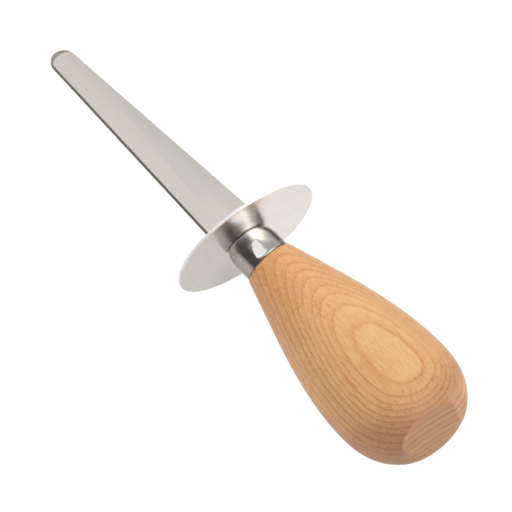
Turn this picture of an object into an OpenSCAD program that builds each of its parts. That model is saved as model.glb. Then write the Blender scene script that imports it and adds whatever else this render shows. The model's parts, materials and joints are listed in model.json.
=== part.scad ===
// Oyster knife lying on a table: a flat lance blade, a round stamped guard,
// a drawn ferrule and a flattened pear-shaped wooden handle.
// All pieces are drawn in the knife's own frame, with the handle's axis along X,
// the tip toward +X, the middle of the guard's rear face at the origin and the
// blade's flats facing up and down. on_table() then lays the knife down on the
// guard's rim and the handle's belly.

/* [Blade] */
// Length of the blade in front of the guard
blade_len = 81; // [60:0.5:110]
// Width of the blade at the guard
blade_root_w = 15.6; // [12:0.2:20]
// Radius of the rounded tip, seen from above
tip_r = 3.7; // [2:0.1:5.5]
// Thickness of the blade and its tang
blade_t = 2; // [1.6:0.1:3]
// Length of the grinding round the tip, on each flat
tip_grind = 1.7; // [0.8:0.1:3]
// Radius of the round grinding at the tip
tip_grind_r = 7; // [5:0.5:12]
// Thickness left at the ground edge
tip_edge_t = 0.4; // [0.2:0.1:0.8]
// Angle between the blade and the handle, seen from above
blade_skew = 2; // [0:0.5:4]
// Length of the tang behind the guard
tang_len = 46; // [30:1:55]
// Width of the tang at the guard
tang_w = 8; // [6:0.2:8.6]
// Width of the tang's end
tang_end_w = 4; // [2.5:0.2:6]

/* [Guard] */
// Diameter of the round guard
guard_d = 46; // [38:0.5:56]
// Thickness of the guard's sheet
guard_t = 1; // [0.8:0.1:1.6]
// Radius that breaks the guard's edges
guard_edge_r = 0.25; // [0.1:0.05:0.35]
// Lean of the guard and of its seats, seen from above
guard_lean = 7; // [0:0.5:9]
// Gap between the tang and the slots it passes through
slot_gap = 0.15; // [0.05:0.05:0.3]

/* [Ferrule] */
// Outer diameter of the ferrule
ferrule_d = 14.9; // [14:0.1:18]
// Length of the ferrule on the handle's axis
ferrule_len = 9.4; // [7:0.2:14]
// Wall of the ferrule
ferrule_wall = 0.8; // [0.6:0.05:1]
// Radius of the rounded shoulder against the guard
ferrule_shoulder_r = 1.3; // [0.8:0.1:2]
// Radius of the ferrule's rolled rear edge
ferrule_lip_r = 0.3; // [0.1:0.05:0.5]
// Depth of the punch mark that pins the ferrule to the wood
punch_depth = 0.45; // [0.2:0.05:0.55]
// Radius of the ball that makes the punch mark
punch_r = 5; // [3:0.5:8]
// Turn of the punch mark from the top of the ferrule
punch_turn = 22; // [-60:1:60]
// Gap between the ferrule's bore and the handle's spigot
spigot_gap = 0.05; // [0.02:0.01:0.2]

/* [Handle] */
// Length of the handle behind the ferrule
handle_len = 71.6; // [60:0.5:90]
// Diameter of the handle's neck, behind the ferrule
neck_d = 15.6; // [14.2:0.1:18]
// Widest width of the handle
belly_w = 39.4; // [32:0.5:48]
// Thickness of the handle at the same place
belly_t = 29.6; // [24:0.5:40]
// Distance from the ferrule to the widest place
belly_at = 50; // [40:0.5:56]
// Slope of the neck's side, as rise over run
neck_slope = 0.3; // [0.1:0.02:0.5]
// Fullness of the rounded butt: 2 is an ellipse, more is squarer
butt_fullness = 2.4; // [2:0.1:3]
// Radius of the small rounding at the neck's edge
neck_round_r = 0.5; // [0.2:0.1:0.8]
// Distance from the guard to the sanded flat, on the handle's axis
flat_at = 79.9; // [77:0.1:80.6]
// Slope of the sanded flat above the handle's axis
flat_slope = 29; // [0:1:40]
// Turn of the sanded flat to one side
flat_turn = -8; // [-12:1:12]
// Diameter of the bore for the tang
bore_d = 9; // [8.9:0.1:10.5]
// Depth of the bore past the end of the tang
bore_extra = 2; // [1:0.5:5]
// Gap of the hardened bedding to the tang and to the bore
bedding_gap = 0.02; // [0.01:0.01:0.05]

/* [Hidden] */
$fn = 96;

// Points round one section of the handle, a multiple of four
section_points = 56;
// Sections along the neck and belly, and along the butt
belly_steps = 24;
butt_steps = 14;
// Sections in the neck's small rounding
round_steps = 3;
// A length that reaches past any piece, for cutting
far = 200;

guard_r = guard_d / 2;
ferrule_r = ferrule_d / 2;
neck_r = neck_d / 2;
neck_x = -ferrule_len;
butt_len = handle_len - belly_at;
bore_r = bore_d / 2;
bore_end_x = -tang_len - bore_extra;
ferrule_bore_r = ferrule_r - ferrule_wall;
spigot_r = ferrule_bore_r - spigot_gap;
// The leaning front wall of the ferrule comes furthest back at one side
lean_reach = ferrule_bore_r * tan(guard_lean);
spigot_end_x = -ferrule_wall / cos(guard_lean) - lean_reach - spigot_gap;

// Blade outline: two straight sides tangent to the round tip
tip_x = blade_len + guard_t - tip_r;
root_r = blade_root_w / 2;
side_angle = acos(tip_r / norm([tip_x, root_r])) - atan2(tip_x, root_r);
tangent_x = tip_x + tip_r * sin(side_angle);
tangent_y = tip_r * cos(side_angle);

// Smooth rise from the neck to the belly, with a level end at the belly
function rise(s, top) =
    let (v = s / belly_at)
    neck_r * (1 + 2 * v) * (1 - v) * (1 - v)
    + neck_slope * belly_at * v * (1 - v) * (1 - v)
    + top * v * v * (3 - 2 * v);

// Rounded butt, from the belly to the end
function butt(s, top) =
    top * sqrt(max(0, 1 - pow((s - belly_at) / butt_len, butt_fullness)));

// What the small rounding at the neck's edge takes off the radius
function neck_cut(s) =
    s >= neck_round_r ? 0
    : neck_round_r - sqrt(neck_round_r * neck_round_r - pow(neck_round_r - s, 2));

// Half of the handle's width or thickness, at a distance s behind the ferrule
function half_size(s, top) = (s <= belly_at ? rise(s, top) : butt(s, top)) - neck_cut(s);

stations = concat(
    [for (i = [0:round_steps - 1]) neck_round_r * (1 - cos(90 * i / round_steps))],
    [for (i = [0:belly_steps]) neck_round_r + (belly_at - neck_round_r) * i / belly_steps],
    [for (i = [1:butt_steps - 1]) belly_at + butt_len * sin(90 * i / butt_steps)]
);

function handle_section(s) = [
    for (i = [0:section_points - 1])
        let (a = 360 * i / section_points)
        [neck_x - s, half_size(s, belly_w / 2) * cos(a), half_size(s, belly_t / 2) * sin(a)]
];

// Lying on the table: the knife tilts until the handle's belly is as low as the guard's rim
function guard_low(t) = -guard_r * norm([cos(t), sin(guard_lean) * sin(t)]);
function handle_low(t) =
    min([for (s = stations) (neck_x - s) * sin(t) - half_size(s, belly_t / 2) * cos(t)]);
function settle(low, high, count) =
    let (t = (low + high) / 2)
    count == 0 ? t
    : handle_low(t) < guard_low(t) ? settle(low, t, count - 1)
    : settle(t, high, count - 1);
rest_tilt = settle(0, 30, 40);

// Reach of the knife along the table, to put the origin in the middle
tip_reach = (tip_x * cos(blade_skew) + tip_r) * cos(rest_tilt) - tip_edge_t / 2 * sin(rest_tilt);
function flat_cut(x, z) = (-x - flat_at) * cos(flat_slope) + z * sin(flat_slope);
profile = [for (s = concat(stations, [handle_len])) [neck_x - s, half_size(s, belly_t / 2)]];
outline_xz = concat(profile, [for (i = [len(profile) - 1:-1:0]) [profile[i].x, -profile[i].y]]);
kept_xz = concat(
    [for (p = outline_xz) if (flat_cut(p.x, p.y) <= 0) p],
    [for (i = [0:len(outline_xz) - 2])
        let (p = outline_xz[i], q = outline_xz[i + 1])
        let (fp = flat_cut(p.x, p.y), fq = flat_cut(q.x, q.y))
        if (fp * fq < 0) p + (q - p) * fp / (fp - fq)]
);
butt_reach = min([for (p = kept_xz) p.x * cos(rest_tilt) - p.y * sin(rest_tilt)]);
middle_x = (tip_reach + butt_reach) / 2;

module on_table() {
    translate([-middle_x, 0, -guard_low(rest_tilt)]) rotate([0, -rest_tilt, 0]) children();
}

// Cylinder along X, from x1 to x2
module rod(r, x1, x2) {
    translate([x1, 0, 0]) rotate([0, 90, 0]) cylinder(r = r, h = x2 - x1);
}

// Everything behind a plane that leans with the guard, at a distance in front of the origin
module behind_seat(offset_x) {
    rotate([0, 0, -guard_lean]) translate([offset_x - far, -far / 2, -far / 2]) cube(far);
}

// Flat outline of the tang, grown by a gap on each side
module tang_outline(gap, front_x) {
    polygon([
        [front_x, tang_w / 2 + gap], [-ferrule_len, tang_w / 2 + gap],
        [-tang_len - gap, tang_end_w / 2 + gap], [-tang_len - gap, -tang_end_w / 2 - gap],
        [-ferrule_len, -tang_w / 2 - gap], [front_x, -tang_w / 2 - gap]
    ]);
}

module tang_bar(gap, front_x) {
    thick = blade_t + 2 * gap;
    translate([0, 0, -thick / 2]) linear_extrude(thick) tang_outline(gap, front_x);
}

// Ground tip: two low cones on the blade's middle plane, with the rest of the blade behind
module tip_grinding() {
    half = blade_t / 2;
    edge = tip_edge_t / 2;
    cone_x = tip_x + tip_r - tip_grind_r;
    translate([cone_x, 0, 0]) {
        translate([0, 0, -edge]) cylinder(r = tip_grind_r, h = tip_edge_t);
        for (side = [0, 1]) mirror([0, 0, side]) translate([0, 0, edge])
            cylinder(r1 = tip_grind_r, r2 = tip_grind_r - tip_grind, h = half - edge);
    }
    translate([cone_x - far, -far / 2, -half]) cube([far, far, blade_t]);
}

module blade_outline() {
    polygon([
        [0, -root_r], [tangent_x, -tangent_y], [tangent_x, tangent_y], [0, root_r]
    ]);
    translate([tip_x, 0]) circle(tip_r);
}

module blade() {
    color("#cfc8c2") on_table() {
        difference() {
            rotate([0, 0, blade_skew]) intersection() {
                translate([0, 0, -blade_t / 2]) linear_extrude(blade_t) blade_outline();
                tip_grinding();
            }
            behind_seat(guard_t);
        }
        tang_bar(0, guard_t + tang_w);
    }
}

module guard() {
    color("#e6e3dd") on_table() difference() {
        rotate([0, 0, -guard_lean]) rotate([0, 90, 0]) rotate_extrude() {
            square([guard_r - guard_edge_r, guard_t]);
            translate([0, guard_edge_r]) square([guard_r, guard_t - 2 * guard_edge_r]);
            for (z = [guard_edge_r, guard_t - guard_edge_r])
                translate([guard_r - guard_edge_r, z]) circle(guard_edge_r);
        }
        tang_bar(slot_gap, far / 2);
    }
}

// Leaning plug whose rounded front edge shapes the ferrule's shoulder.
// Behind the round it widens as a cone, so it clears the ferrule's straight side.
module shoulder_plug() {
    r = ferrule_shoulder_r;
    flat_r = ferrule_r - r;
    blend = 70;
    wide = 8;
    rotate([0, 0, -guard_lean]) rotate([0, -90, 0]) rotate_extrude() {
        polygon([
            [0, 0], [flat_r, 0], [flat_r, r],
            [flat_r + r * sin(blend), r - r * cos(blend)],
            [flat_r + r * sin(blend) + wide * cos(blend), r - r * cos(blend) + wide * sin(blend)],
            [flat_r + r * sin(blend) + wide * cos(blend), far / 4], [0, far / 4]
        ]);
        translate([flat_r, r]) circle(r);
    }
}

module ferrule() {
    lip = ferrule_lip_r;
    front_x = 2 * ferrule_r * tan(guard_lean) + ferrule_wall;
    color("#aaa298") on_table() difference() {
        intersection() {
            translate([-ferrule_len, 0, 0]) rotate([0, 90, 0]) rotate_extrude() {
                square([ferrule_r - lip, ferrule_len + front_x]);
                translate([0, lip]) square([ferrule_r, ferrule_len + front_x - lip]);
                translate([ferrule_r - lip, lip]) circle(lip);
            }
            shoulder_plug();
        }
        intersection() {
            rod(ferrule_bore_r, -ferrule_len - 1, front_x);
            behind_seat(-ferrule_wall);
        }
        tang_bar(slot_gap, far / 2);
        punch_mark();
    }
}

module punch_mark() {
    spread = sqrt(2 * punch_r * punch_depth);
    rotate([-punch_turn, 0, 0])
        translate([spread - ferrule_len + ferrule_lip_r, 0, ferrule_r + punch_r - punch_depth])
        sphere(punch_r);
}

module handle_skin() {
    rings = [for (s = stations) handle_section(s)];
    last = len(rings) - 1;
    n = section_points;
    points = concat([for (ring = rings) each ring], [[neck_x - handle_len, 0, 0]]);
    sides = [
        for (k = [0:last - 1], i = [0:n - 1])
            let (j = (i + 1) % n)
            each [
                [k * n + i, k * n + j, (k + 1) * n + j],
                [k * n + i, (k + 1) * n + j, (k + 1) * n + i]
            ]
    ];
    pole = [for (i = [0:n - 1]) [last * n + i, last * n + (i + 1) % n, len(points) - 1]];
    neck_face = [[for (i = [n - 1:-1:0]) i]];
    polyhedron(points, concat(sides, pole, neck_face), convexity = 4);
}

module handle() {
    color("#e3b07c") on_table() difference() {
        union() {
            handle_skin();
            rod(spigot_r, neck_x - 1, spigot_end_x);
        }
        rod(bore_r, bore_end_x, 1);
        rotate([0, 0, flat_turn]) translate([-flat_at, 0, 0]) rotate([0, flat_slope, 0])
            translate([-far / 2, -far / 4, -far / 4]) cube(far / 2);
    }
}

module tang_bedding() {
    color("#a98f63") on_table() difference() {
        rod(bore_r - bedding_gap, bore_end_x, spigot_end_x);
        tang_bar(bedding_gap, far / 2);
    }
}

blade();
guard();
ferrule();
handle();
tang_bedding();
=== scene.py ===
"""Oyster knife: a flat lance blade, a round guard, a drawn ferrule and a pear-shaped wooden handle."""

import json
from math import acos, atan2, ceil, cos, hypot, pi, radians, sin, tan

import bmesh
import bpy
from mathutils import Matrix, Vector


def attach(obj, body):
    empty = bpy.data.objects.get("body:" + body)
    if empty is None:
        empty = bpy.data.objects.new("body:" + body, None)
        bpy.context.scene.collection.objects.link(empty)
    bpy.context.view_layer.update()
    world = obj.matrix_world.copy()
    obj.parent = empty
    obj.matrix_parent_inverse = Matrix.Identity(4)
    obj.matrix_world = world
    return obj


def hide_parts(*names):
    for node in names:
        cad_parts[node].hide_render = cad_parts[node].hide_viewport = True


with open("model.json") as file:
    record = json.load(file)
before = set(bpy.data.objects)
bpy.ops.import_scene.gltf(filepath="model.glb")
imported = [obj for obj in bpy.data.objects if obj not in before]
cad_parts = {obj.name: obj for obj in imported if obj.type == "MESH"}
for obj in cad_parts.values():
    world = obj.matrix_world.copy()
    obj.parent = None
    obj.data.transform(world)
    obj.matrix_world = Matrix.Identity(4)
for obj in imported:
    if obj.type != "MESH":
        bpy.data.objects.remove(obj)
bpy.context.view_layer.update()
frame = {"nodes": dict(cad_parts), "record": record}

bl_info = {
    "name": "Oyster knife",
    "version": (1, 0, 0),
    "blender": (4, 5, 0),
    "location": "View3D > Sidebar > Oyster Knife",
    "description": "Blade, guard, ferrule and handle of an oyster knife, with their finishes and a stage",
    "category": "Add Mesh",
}

BODY = "root"
MM = 0.001
PHOTO_SIZE = 512
# Distance in metres within which mesh points are merged
DOUBLES = 1e-7


# Sizes and colours


class BladeSettings(bpy.types.PropertyGroup):
    """Sizes and finish of the blade and its tang."""

    length: bpy.props.FloatProperty(
        name="Length", description="Length of the blade in front of the guard", default=81 * MM, unit="LENGTH"
    )
    root_width: bpy.props.FloatProperty(
        name="Root width", description="Width of the blade at the guard", default=15.6 * MM, unit="LENGTH"
    )
    tip_radius: bpy.props.FloatProperty(
        name="Tip radius", description="Radius of the rounded tip", default=3.7 * MM, unit="LENGTH"
    )
    thickness: bpy.props.FloatProperty(
        name="Thickness", description="Thickness of the blade and its tang", default=2 * MM, unit="LENGTH"
    )
    grind_length: bpy.props.FloatProperty(
        name="Tip grind", description="Length of the grinding round the tip", default=1.7 * MM, unit="LENGTH"
    )
    grind_radius: bpy.props.FloatProperty(
        name="Grind radius", description="Radius of the round grinding at the tip",
        default=7 * MM, unit="LENGTH",
    )
    edge_thickness: bpy.props.FloatProperty(
        name="Edge", description="Thickness left at the ground tip", default=0.4 * MM, unit="LENGTH"
    )
    edge_break: bpy.props.FloatProperty(
        name="Edge break", description="Width that breaks the sharp corners", default=0.09 * MM, unit="LENGTH"
    )
    skew: bpy.props.FloatProperty(
        name="Skew", description="Angle between blade and handle, from above",
        default=radians(2), subtype="ANGLE",
    )
    tang_length: bpy.props.FloatProperty(
        name="Tang length", description="Length of the tang behind the guard", default=46 * MM, unit="LENGTH"
    )
    tang_width: bpy.props.FloatProperty(
        name="Tang width", description="Width of the tang at the guard", default=8 * MM, unit="LENGTH"
    )
    tang_end_width: bpy.props.FloatProperty(
        name="Tang end width", description="Width of the tang's end", default=4 * MM, unit="LENGTH"
    )
    flat_colour: bpy.props.FloatVectorProperty(
        name="Flats", description="Colour of the satin flats", subtype="COLOR", default=(0.76, 0.706, 0.656)
    )
    side_colour: bpy.props.FloatVectorProperty(
        name="Sides", description="Colour of the sheared sides", subtype="COLOR", default=(0.17, 0.148, 0.128)
    )


class GuardSettings(bpy.types.PropertyGroup):
    """Sizes and finish of the round guard."""

    diameter: bpy.props.FloatProperty(
        name="Diameter", description="Diameter of the guard", default=45.998 * MM, unit="LENGTH"
    )
    thickness: bpy.props.FloatProperty(
        name="Thickness", description="Thickness of the guard's sheet", default=1 * MM, unit="LENGTH"
    )
    edge_radius: bpy.props.FloatProperty(
        name="Edge radius", description="Radius that breaks the guard's edges",
        default=0.25 * MM, unit="LENGTH",
    )
    lean: bpy.props.FloatProperty(
        name="Lean", description="Lean of the guard and its seats, from above",
        default=radians(7), subtype="ANGLE",
    )
    slot_gap: bpy.props.FloatProperty(
        name="Slot gap", description="Gap between the tang and its slots", default=0.15 * MM, unit="LENGTH"
    )
    colour: bpy.props.FloatVectorProperty(
        name="Colour", description="Colour of the polished sheet",
        subtype="COLOR", default=(0.905, 0.888, 0.862),
    )


class FerruleSettings(bpy.types.PropertyGroup):
    """Sizes and finish of the drawn ferrule."""

    diameter: bpy.props.FloatProperty(
        name="Diameter", description="Outer diameter of the ferrule", default=14.9 * MM, unit="LENGTH"
    )
    length: bpy.props.FloatProperty(
        name="Length", description="Length on the handle's axis", default=9.4 * MM, unit="LENGTH"
    )
    wall: bpy.props.FloatProperty(
        name="Wall", description="Thickness of the ferrule's wall", default=0.8 * MM, unit="LENGTH"
    )
    crown_length: bpy.props.FloatProperty(
        name="Crown length", description="Length of the rounding towards the guard",
        default=4.4 * MM, unit="LENGTH",
    )
    crown_drop: bpy.props.FloatProperty(
        name="Crown drop", description="How far the rounding comes in at the guard",
        default=1.45 * MM, unit="LENGTH",
    )
    lip_radius: bpy.props.FloatProperty(
        name="Lip", description="Radius of the rolled rear edge", default=0.5 * MM, unit="LENGTH"
    )
    dent_front: bpy.props.FloatProperty(
        name="Dent front", description="Distance from the guard to the mark's point",
        default=4.05 * MM, unit="LENGTH",
    )
    dent_length: bpy.props.FloatProperty(
        name="Dent length", description="Length of the mark along the handle",
        default=4.65 * MM, unit="LENGTH",
    )
    dent_fall: bpy.props.FloatProperty(
        name="Dent fall", description="Fall of the mark's floor to the rear", default=0.55 * MM, unit="LENGTH"
    )
    dent_side: bpy.props.FloatProperty(
        name="Dent side", description="Turn of the mark's sharp side from the top",
        default=radians(7), subtype="ANGLE",
    )
    dent_turn: bpy.props.FloatProperty(
        name="Dent turn", description="Turn of the mark's floor from the top",
        default=radians(14), subtype="ANGLE",
    )
    colour: bpy.props.FloatVectorProperty(
        name="Colour", description="Colour of the polished metal",
        subtype="COLOR", default=(0.47, 0.434, 0.397),
    )


class HandleSettings(bpy.types.PropertyGroup):
    """Sizes and finish of the wooden handle."""

    length: bpy.props.FloatProperty(
        name="Length", description="Length behind the ferrule", default=71.6 * MM, unit="LENGTH"
    )
    neck_diameter: bpy.props.FloatProperty(
        name="Neck", description="Diameter of the neck behind the ferrule", default=15.6 * MM, unit="LENGTH"
    )
    belly_width: bpy.props.FloatProperty(
        name="Belly width", description="Widest width of the handle", default=39.4 * MM, unit="LENGTH"
    )
    belly_thickness: bpy.props.FloatProperty(
        name="Belly thickness", description="Thickness at the widest place", default=29.57 * MM, unit="LENGTH"
    )
    belly_at: bpy.props.FloatProperty(
        name="Belly place", description="Distance from the ferrule to the belly",
        default=50 * MM, unit="LENGTH",
    )
    neck_slope: bpy.props.FloatProperty(
        name="Neck slope", description="Slope of the neck's side, as rise over run", default=0.3
    )
    butt_fullness: bpy.props.FloatProperty(
        name="Butt fullness", description="2 is an ellipse, and more is squarer", default=2.4
    )
    neck_round: bpy.props.FloatProperty(
        name="Neck rounding", description="Radius of the rounding at the neck",
        default=0.5 * MM, unit="LENGTH",
    )
    flat_at: bpy.props.FloatProperty(
        name="Flat place", description="Distance from the guard to the sanded flat",
        default=78.95 * MM, unit="LENGTH",
    )
    flat_slope: bpy.props.FloatProperty(
        name="Flat slope", description="Slope of the flat above the axis",
        default=radians(28), subtype="ANGLE",
    )
    flat_turn: bpy.props.FloatProperty(
        name="Flat turn", description="Turn of the flat to one side", default=radians(-7.4), subtype="ANGLE"
    )
    crease_crisp: bpy.props.FloatProperty(
        name="Crisp crease", description="Softness of the flat's edge on top", default=0.3 * MM, unit="LENGTH"
    )
    crease_soft: bpy.props.FloatProperty(
        name="Soft crease", description="Softness of the flat's edge lower down",
        default=3.2 * MM, unit="LENGTH",
    )
    spigot_diameter: bpy.props.FloatProperty(
        name="Spigot", description="Diameter of the spigot in the ferrule", default=13.2 * MM, unit="LENGTH"
    )
    bore_diameter: bpy.props.FloatProperty(
        name="Bore", description="Diameter of the bore for the tang", default=9 * MM, unit="LENGTH"
    )
    bore_extra: bpy.props.FloatProperty(
        name="Bore past tang", description="Depth of the bore past the tang's end",
        default=2 * MM, unit="LENGTH",
    )
    rows: bpy.props.IntProperty(name="Rows", description="Rows of faces along the handle", default=220)
    columns: bpy.props.IntProperty(name="Columns", description="Faces round the handle", default=256)
    pale_colour: bpy.props.FloatVectorProperty(
        name="Early wood", description="Colour between the rings",
        subtype="COLOR", default=(0.835, 0.5, 0.238),
    )
    ring_colour: bpy.props.FloatVectorProperty(
        name="Ring", description="Colour of the ring lines", subtype="COLOR", default=(0.7, 0.27, 0.095)
    )
    flat_colour: bpy.props.FloatVectorProperty(
        name="Sanded flat", description="Colour of the end grain", subtype="COLOR", default=(0.96, 0.55, 0.27)
    )


class StageSettings(bpy.types.PropertyGroup):
    """Camera, floor and light."""

    look_from: bpy.props.FloatVectorProperty(
        name="Camera", description="Camera's place in the knife's frame", unit="LENGTH",
        default=(-142.23 * MM, 204.78 * MM, 446.34 * MM),
    )
    look_at: bpy.props.FloatVectorProperty(
        name="Aim", description="Point in the middle of the picture", unit="LENGTH",
        default=(-5.47 * MM, 1.47 * MM, 0),
    )
    roll: bpy.props.FloatProperty(
        name="Roll", description="Turn of the camera about its view", default=radians(4.31), subtype="ANGLE"
    )
    focal_pixels: bpy.props.FloatProperty(
        name="Focal length", description="Focal length in pixels of the picture", default=1800
    )
    floor_size: bpy.props.FloatProperty(
        name="Floor", description="Side of the square floor", default=16, unit="LENGTH"
    )
    fill: bpy.props.FloatProperty(
        name="Fill", description="Strength of the light from all round", default=0.18
    )


# The knife's own frame


def knife_frame():
    """The frame with the handle's axis along X and the middle of the guard's rear face at its origin."""
    mounts = {mount["name"]: mount for mount in frame["record"]["mounts"]}
    along = Vector(mounts["grip"]["axis"]).normalized()
    upward = Vector(mounts["blade_flat"]["axis"]).normalized()
    scene = bpy.context.scene
    grip_at = scene.knife_ferrule.length + scene.knife_handle.belly_at
    origin = Vector(mounts["grip"]["pos_m"]) + along * grip_at
    turn = Matrix((along, upward.cross(along), upward)).transposed()
    return Matrix.Translation(origin) @ turn.to_4x4()


def leaning(point, lean):
    """A point of a guard that stands square to the handle, turned to the lean of the real one."""
    return Matrix.Rotation(-lean, 3, "Z") @ Vector(point)


def seat_x(y, lean, offset=0.0):
    """Distance along the handle's axis of the leaning seat plane, at a place across it."""
    return (offset + y * sin(lean)) / cos(lean)


# Meshes


def ring_mesh(name, rings, material):
    """A mesh of quads from each ring of points to the next one, and from the last to the first."""
    count = len(rings[0])
    faces = []
    for row in range(len(rings)):
        start = row * count
        following = (row + 1) % len(rings) * count
        for i in range(count):
            beside = (i + 1) % count
            faces.append((start + i, start + beside, following + beside, following + i))
    mesh = bpy.data.meshes.new(name)
    mesh.from_pydata([point for ring in rings for point in ring], [], faces)
    mesh.materials.append(material)
    return mesh


def tidy_mesh(mesh):
    """Merges doubles and turns the faces of a closed mesh outward."""
    work = bmesh.new()
    work.from_mesh(mesh)
    bmesh.ops.remove_doubles(work, verts=work.verts, dist=DOUBLES)
    bmesh.ops.recalc_face_normals(work, faces=work.faces)
    if work.calc_volume(signed=True) < 0:
        bmesh.ops.reverse_faces(work, faces=work.faces)
    open_edges = [edge for edge in work.edges if not edge.is_manifold]
    if open_edges:
        raise RuntimeError(f"{mesh.name} has {len(open_edges)} open edges")
    work.to_mesh(mesh)
    work.free()


def place_piece(name, mesh, node, smooth_angle):
    """Puts a mesh made in the knife's frame on the table, in place of its CAD node."""
    mesh.transform(knife_frame())
    mesh.shade_smooth()
    mesh.set_sharp_from_angle(angle=smooth_angle)
    piece = bpy.data.objects.new(name, mesh)
    bpy.context.collection.objects.link(piece)
    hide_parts(node)
    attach(piece, BODY)


def applied(piece):
    """Turns an object with modifiers into a plain mesh."""
    bpy.context.view_layer.update()
    evaluated = piece.evaluated_get(bpy.context.evaluated_depsgraph_get())
    mesh = bpy.data.meshes.new_from_object(evaluated)
    mesh.name = piece.name
    bpy.data.objects.remove(piece)
    return mesh


# Node trees


class Term:
    """A number carried by a node's socket, so that a tree reads like a formula."""

    def __init__(self, sketch, socket):
        self.sketch = sketch
        self.socket = socket

    def combined(self, operation, other):
        return self.sketch.math(operation, self, other)

    def __add__(self, other):
        return self.combined("ADD", other)

    def __sub__(self, other):
        return self.combined("SUBTRACT", other)

    def __mul__(self, other):
        return self.combined("MULTIPLY", other)

    def __truediv__(self, other):
        return self.combined("DIVIDE", other)

    def __rsub__(self, other):
        return self.sketch.math("SUBTRACT", other, self)

    def __neg__(self):
        return self.combined("MULTIPLY", -1.0)

    __radd__ = __add__
    __rmul__ = __mul__


class Sketch:
    """A node tree being drawn."""

    def __init__(self, tree):
        self.tree = tree

    def feed(self, socket, value):
        """Links a value to a socket, or writes it there."""
        if isinstance(value, Term):
            value = value.socket
        if isinstance(value, bpy.types.NodeSocket):
            self.tree.links.new(value, socket)
        else:
            socket.default_value = value

    def add(self, kind, inputs=None, **settings):
        """Adds a node with its settings, and feeds its inputs."""
        node = self.tree.nodes.new(kind)
        for key, value in settings.items():
            setattr(node, key, value)
        for key, value in (inputs or {}).items():
            self.feed(node.inputs[key], value)
        return node

    def math(self, operation, *values):
        """Any of the Math node's operations."""
        node = self.add("ShaderNodeMath", dict(enumerate(values)), operation=operation)
        return Term(self, node.outputs[0])

    def split(self, vector):
        node = self.add("ShaderNodeSeparateXYZ", {0: vector})
        return [Term(self, output) for output in node.outputs]

    def join(self, x, y, z):
        return self.add("ShaderNodeCombineXYZ", {0: x, 1: y, 2: z}).outputs[0]

    def ramp(self, value, low, high, low_out=0.0, high_out=1.0):
        """Smooth step of a value between two limits."""
        node = self.add(
            "ShaderNodeMapRange",
            {"Value": value, "From Min": low, "From Max": high, "To Min": low_out, "To Max": high_out},
            interpolation_type="SMOOTHSTEP",
        )
        return Term(self, node.outputs["Result"])

    def noise(self, vector, scale, detail=2.0, roughness=0.5, distortion=0.0):
        """Noise from 0 to 1."""
        inputs = {"Vector": vector, "Scale": scale, "Detail": detail}
        inputs |= {"Roughness": roughness, "Distortion": distortion}
        return Term(self, self.add("ShaderNodeTexNoise", inputs).outputs["Fac"])

    def streaked(self, vector, scale, detail=1.0, roughness=0.5):
        """Noise from 0 to 1, with a scale of its own along each axis."""
        return self.noise(self.mapped(vector, scale=scale), 1.0, detail, roughness)

    def mapped(self, vector, scale=(1, 1, 1), rotation=(0, 0, 0)):
        """A vector scaled and then turned."""
        node = self.add("ShaderNodeMapping", {"Vector": vector, "Rotation": rotation, "Scale": scale})
        return node.outputs["Vector"]

    def mix_colour(self, factor, first, second, blend="MIX"):
        """The first colour with a share of the second one blended in."""
        node = self.add("ShaderNodeMix", data_type="RGBA", blend_type=blend)
        self.feed(node.inputs["Factor"], factor)
        colours = [socket for socket in node.inputs if socket.type == "RGBA"]
        for socket, colour in zip(colours, (first, second)):
            self.feed(socket, with_alpha(colour) if isinstance(colour, (tuple, list)) else colour)
        return next(socket for socket in node.outputs if socket.type == "RGBA")

    def bump(self, height, distance, strength):
        inputs = {"Height": height, "Distance": distance, "Strength": strength}
        return self.add("ShaderNodeBump", inputs).outputs["Normal"]

    def mark(self, name):
        """A number that the mesh carries at each of its points."""
        return Term(self, self.add("ShaderNodeAttribute", attribute_name=name).outputs["Fac"])


def with_alpha(colour):
    return (*colour[:3], 1.0)


def shaded(colour, share):
    """A colour times one share, or times a share for each of its three parts."""
    shares = share if isinstance(share, tuple) else (share, share, share)
    return [part * each for part, each in zip(colour, shares)]


def new_material(name):
    """A material with an empty tree: its sketch, its main shader, and itself."""
    material = bpy.data.materials.new(name)
    material.use_nodes = True
    material.node_tree.nodes.clear()
    sketch = Sketch(material.node_tree)
    shader = sketch.add("ShaderNodeBsdfPrincipled")
    sketch.add("ShaderNodeOutputMaterial", {"Surface": shader.outputs["BSDF"]})
    return material, sketch, shader


def knife_millimetres(sketch):
    """Position in the knife's frame, in millimetres."""
    place = knife_frame()
    coordinates = sketch.add("ShaderNodeTexCoord").outputs["Object"]
    mapping = sketch.add(
        "ShaderNodeMapping",
        {
            "Vector": coordinates,
            "Location": place.to_translation(),
            "Rotation": place.to_euler("XYZ"),
            "Scale": (MM, MM, MM),
        },
        vector_type="TEXTURE",
    )
    return mapping.outputs["Vector"]


# Blade


# Line on the blade's flats past which their tone is cooler, in millimetres
TONE_EDGE_X, TONE_EDGE_Y, TONE_EDGE_SLOPE = 55.3, -1.93, 0.115


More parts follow.
